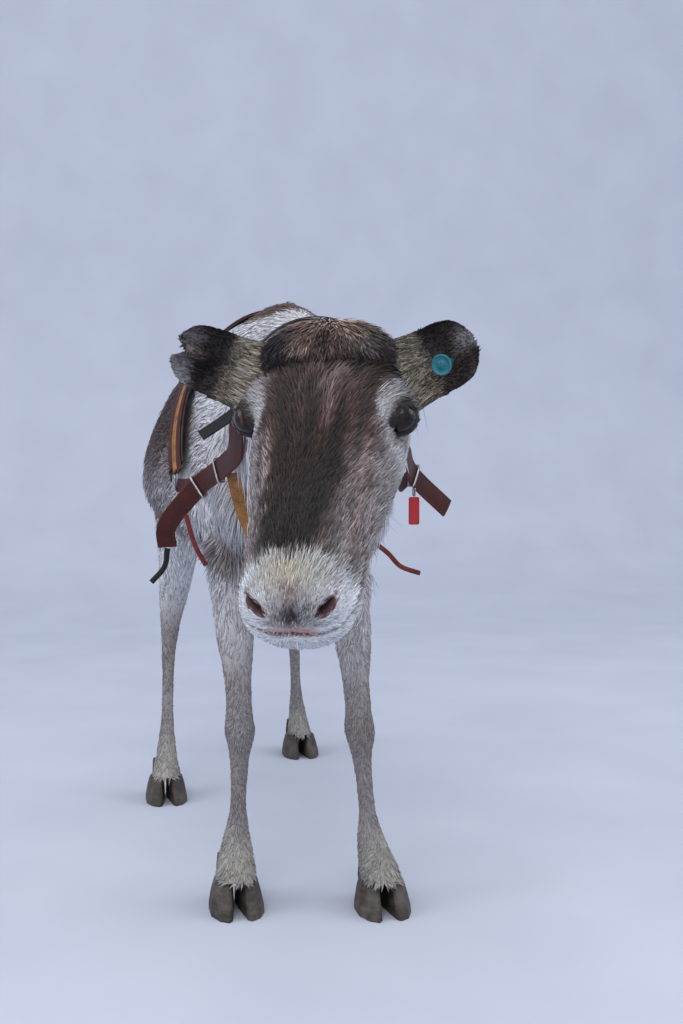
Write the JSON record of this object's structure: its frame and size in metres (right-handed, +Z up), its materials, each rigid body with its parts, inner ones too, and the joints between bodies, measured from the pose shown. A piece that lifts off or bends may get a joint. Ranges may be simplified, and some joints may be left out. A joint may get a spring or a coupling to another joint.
{
  "type": "reindeer",
  "caption": "Life-size model of a standing reindeer in winter coat, without antlers, its head lowered, in a leather pulling harness with a collar tag and an ear tag.",
  "frame": {"origin": "on the floor, under the middle of the model's bounding box", "axes": "+Z up, the animal faces -Y and its left side is +X"},
  "size_m": [0.4664, 1.8636, 0.945],
  "materials": {
    "coat_body": "winter fur, grey-brown over a pale belly",
    "coat_pale": "long white winter fur",
    "coat_head": "short dark brown fur with white round the eyes and lips",
    "coat_leg": "short grey-brown fur",
    "hoof": "dark worn horn",
    "eye": "wet dark brown",
    "leather_red": "worn red-brown harness leather",
    "leather_ochre": "worn ochre webbing",
    "leather_black": "black strap",
    "steel": "dull steel",
    "tag_red": "red plastic, blank",
    "tag_teal": "teal plastic, blank"
  },
  "bodies": {
    "root": {"torso": "coat_body", "neck": "coat_pale", "head": "coat_head", "ear_left": "coat_head", "ear_right": "coat_head", "eye_left": "eye", "eye_right": "eye", "tail": "coat_pale", "foreleg_right_upper": "coat_leg", "foreleg_right_lower": "coat_leg", "foreleg_left_upper": "coat_leg", "foreleg_left_lower": "coat_leg", "hindleg_right_upper": "coat_leg", "hindleg_right_lower": "coat_leg", "hindleg_left_upper": "coat_leg", "hindleg_left_lower": "coat_leg", "foreleg_right_claw_inner": "hoof", "foreleg_right_claw_outer": "hoof", "foreleg_left_claw_inner": "hoof", "foreleg_left_claw_outer": "hoof", "hindleg_right_claw_inner": "hoof", "hindleg_right_claw_outer": "hoof", "hindleg_left_claw_inner": "hoof", "hindleg_left_claw_outer": "hoof", "foreleg_right_dew_claw_inner": "hoof", "foreleg_right_dew_claw_outer": "hoof", "foreleg_left_dew_claw_inner": "hoof", "foreleg_left_dew_claw_outer": "hoof", "hindleg_right_dew_claw_inner": "hoof", "hindleg_right_dew_claw_outer": "hoof", "hindleg_left_dew_claw_inner": "hoof", "hindleg_left_dew_claw_outer": "hoof", "collar": "leather_red", "collar_keeper_1": "steel", "collar_keeper_2": "steel", "collar_keeper_3": "steel", "collar_end": "leather_black", "throat_loop": "leather_ochre", "neck_strap": "leather_black", "saddle_pad": "leather_black", "saddle_strip_front": "leather_red", "saddle_strip_middle": "leather_ochre", "saddle_strip_rear": "leather_red", "side_strap_left": "leather_red", "side_strap_right": "leather_red", "saddle_buckle_left": "steel", "saddle_buckle_right": "steel", "chest_thong": "leather_red", "loose_thong": "leather_red", "collar_tag": "tag_red", "collar_tag_link": "steel", "ear_tag": "tag_teal"}
  },
  "joints": []
}
